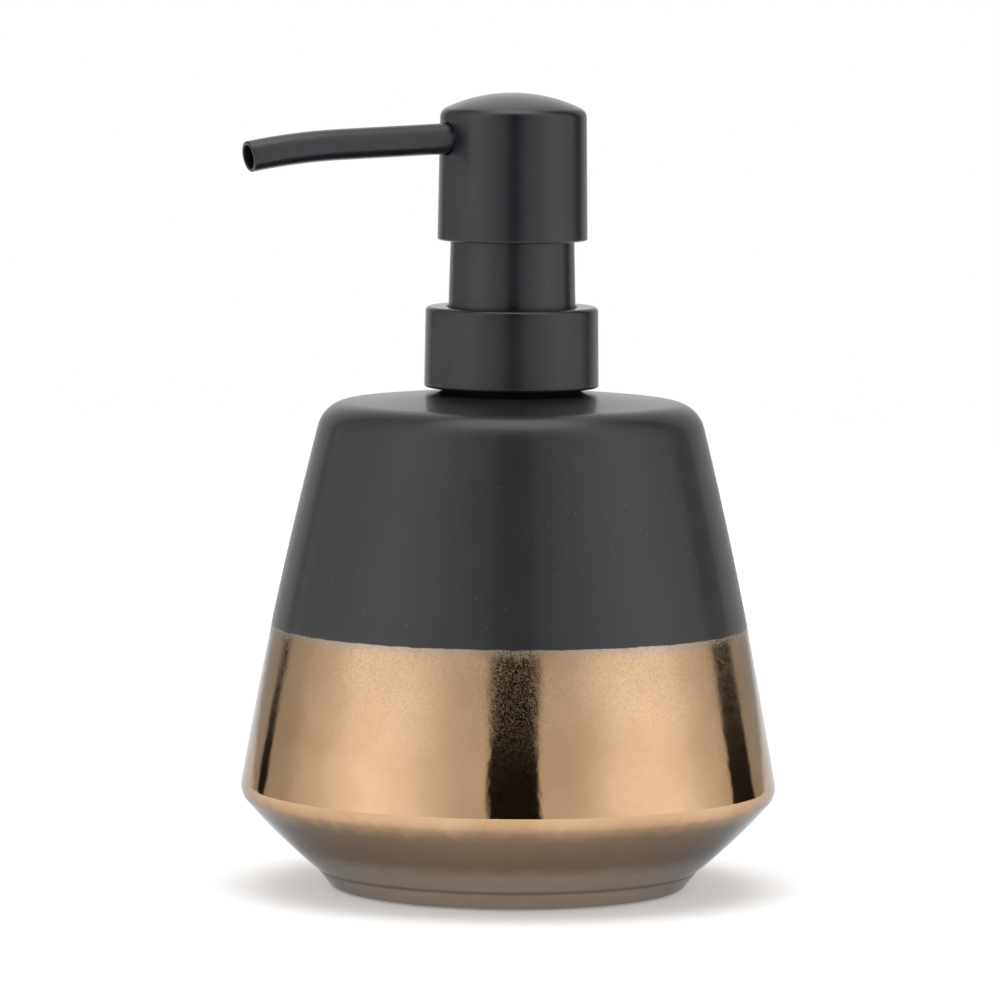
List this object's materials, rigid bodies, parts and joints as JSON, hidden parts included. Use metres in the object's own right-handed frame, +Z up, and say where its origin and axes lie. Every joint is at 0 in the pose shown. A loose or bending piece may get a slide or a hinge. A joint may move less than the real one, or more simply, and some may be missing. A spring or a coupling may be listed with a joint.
{
  "type": "soap pump dispenser",
  "caption": "Stoneware counter-top soap bottle with tapering flanks and a low bowl foot, closed by a lotion pump with a domed head and a long down-curved spout.",
  "frame": {"origin": "on the bottle's axis, at the underside of the foot pad: the plane that the dispenser stands on", "axes": "+Z up along the axis of bottle and pump, the spout points along -X at rest"},
  "size_m": [0.1087, 0.1048, 0.1552],
  "materials": {
    "two_tone_glaze": "black satin glaze above, bronze metallic lustre glaze below",
    "pump_black": "moulded, satin matte black",
    "natural_plastic": "natural polypropylene",
    "milky_tube": "extruded polyethylene, milky",
    "piston_plastic": "soft polyethylene",
    "spring_steel": "drawn stainless wire",
    "ball_steel": "ground and polished",
    "gasket_foam": "closed-cell foam",
    "pad_foam": "closed-cell foam, fine grain",
    "clear_cement": "cured epoxy"
  },
  "bodies": {
    "bottle": {"bottle_foot": "two_tone_glaze", "bottle_bowl": "two_tone_glaze", "bottle_flanks": "two_tone_glaze", "bottle_shoulder": "two_tone_glaze", "base_pad": "pad_foam", "neck_ring": "natural_plastic", "ring_cement": "clear_cement"},
    "pump": {"pump_housing": "natural_plastic", "chaplet": "pump_black", "guide_sleeve": "pump_black", "neck_gasket": "gasket_foam", "ball_retainer": "natural_plastic", "dip_tube": "milky_tube", "return_spring": "spring_steel"},
    "collar": {"closure": "pump_black", "collar_shell": "pump_black"},
    "plunger": {"stem": "natural_plastic", "valve_post": "natural_plastic"},
    "head": {"head_shell": "pump_black", "head_core": "pump_black", "spout": "pump_black"},
    "piston": {"piston": "piston_plastic"},
    "inlet_ball": {"inlet_ball": "ball_steel"}
  },
  "joints": [
    {"name": "pump_rise", "type": "slide", "parent": "bottle", "child": "pump", "axis": [0, 0, 1], "range_m": [0, 0.00525]},
    {"name": "collar_turn", "type": "hinge", "parent": "pump", "child": "collar", "pos_m": [0, 0, 0.108], "axis": [0, 0, 1], "range_deg": [0, 450]},
    {"name": "head_press", "type": "slide", "parent": "pump", "child": "plunger", "axis": [0, 0, -1], "range_m": [0, 0.012], "stiffness_N_per_m": 500, "springref_m": -0.01, "deforming": ["return_spring"]},
    {"name": "head_swivel", "type": "hinge", "parent": "plunger", "child": "head", "pos_m": [0, 0, 0.14], "axis": [0, 0, 1], "continuous": true},
    {"name": "piston_float", "type": "slide", "parent": "plunger", "child": "piston", "axis": [0, 0, 1], "range_m": [0, 0.0014]},
    {"name": "inlet_ball_lift", "type": "slide", "parent": "pump", "child": "inlet_ball", "axis": [0, 0, 1], "range_m": [0, 0.0012]}
  ],
  "couplings": [
    {"joint": "collar_turn", "follows": "pump_rise", "rad_per_m": 1496}
  ]
}
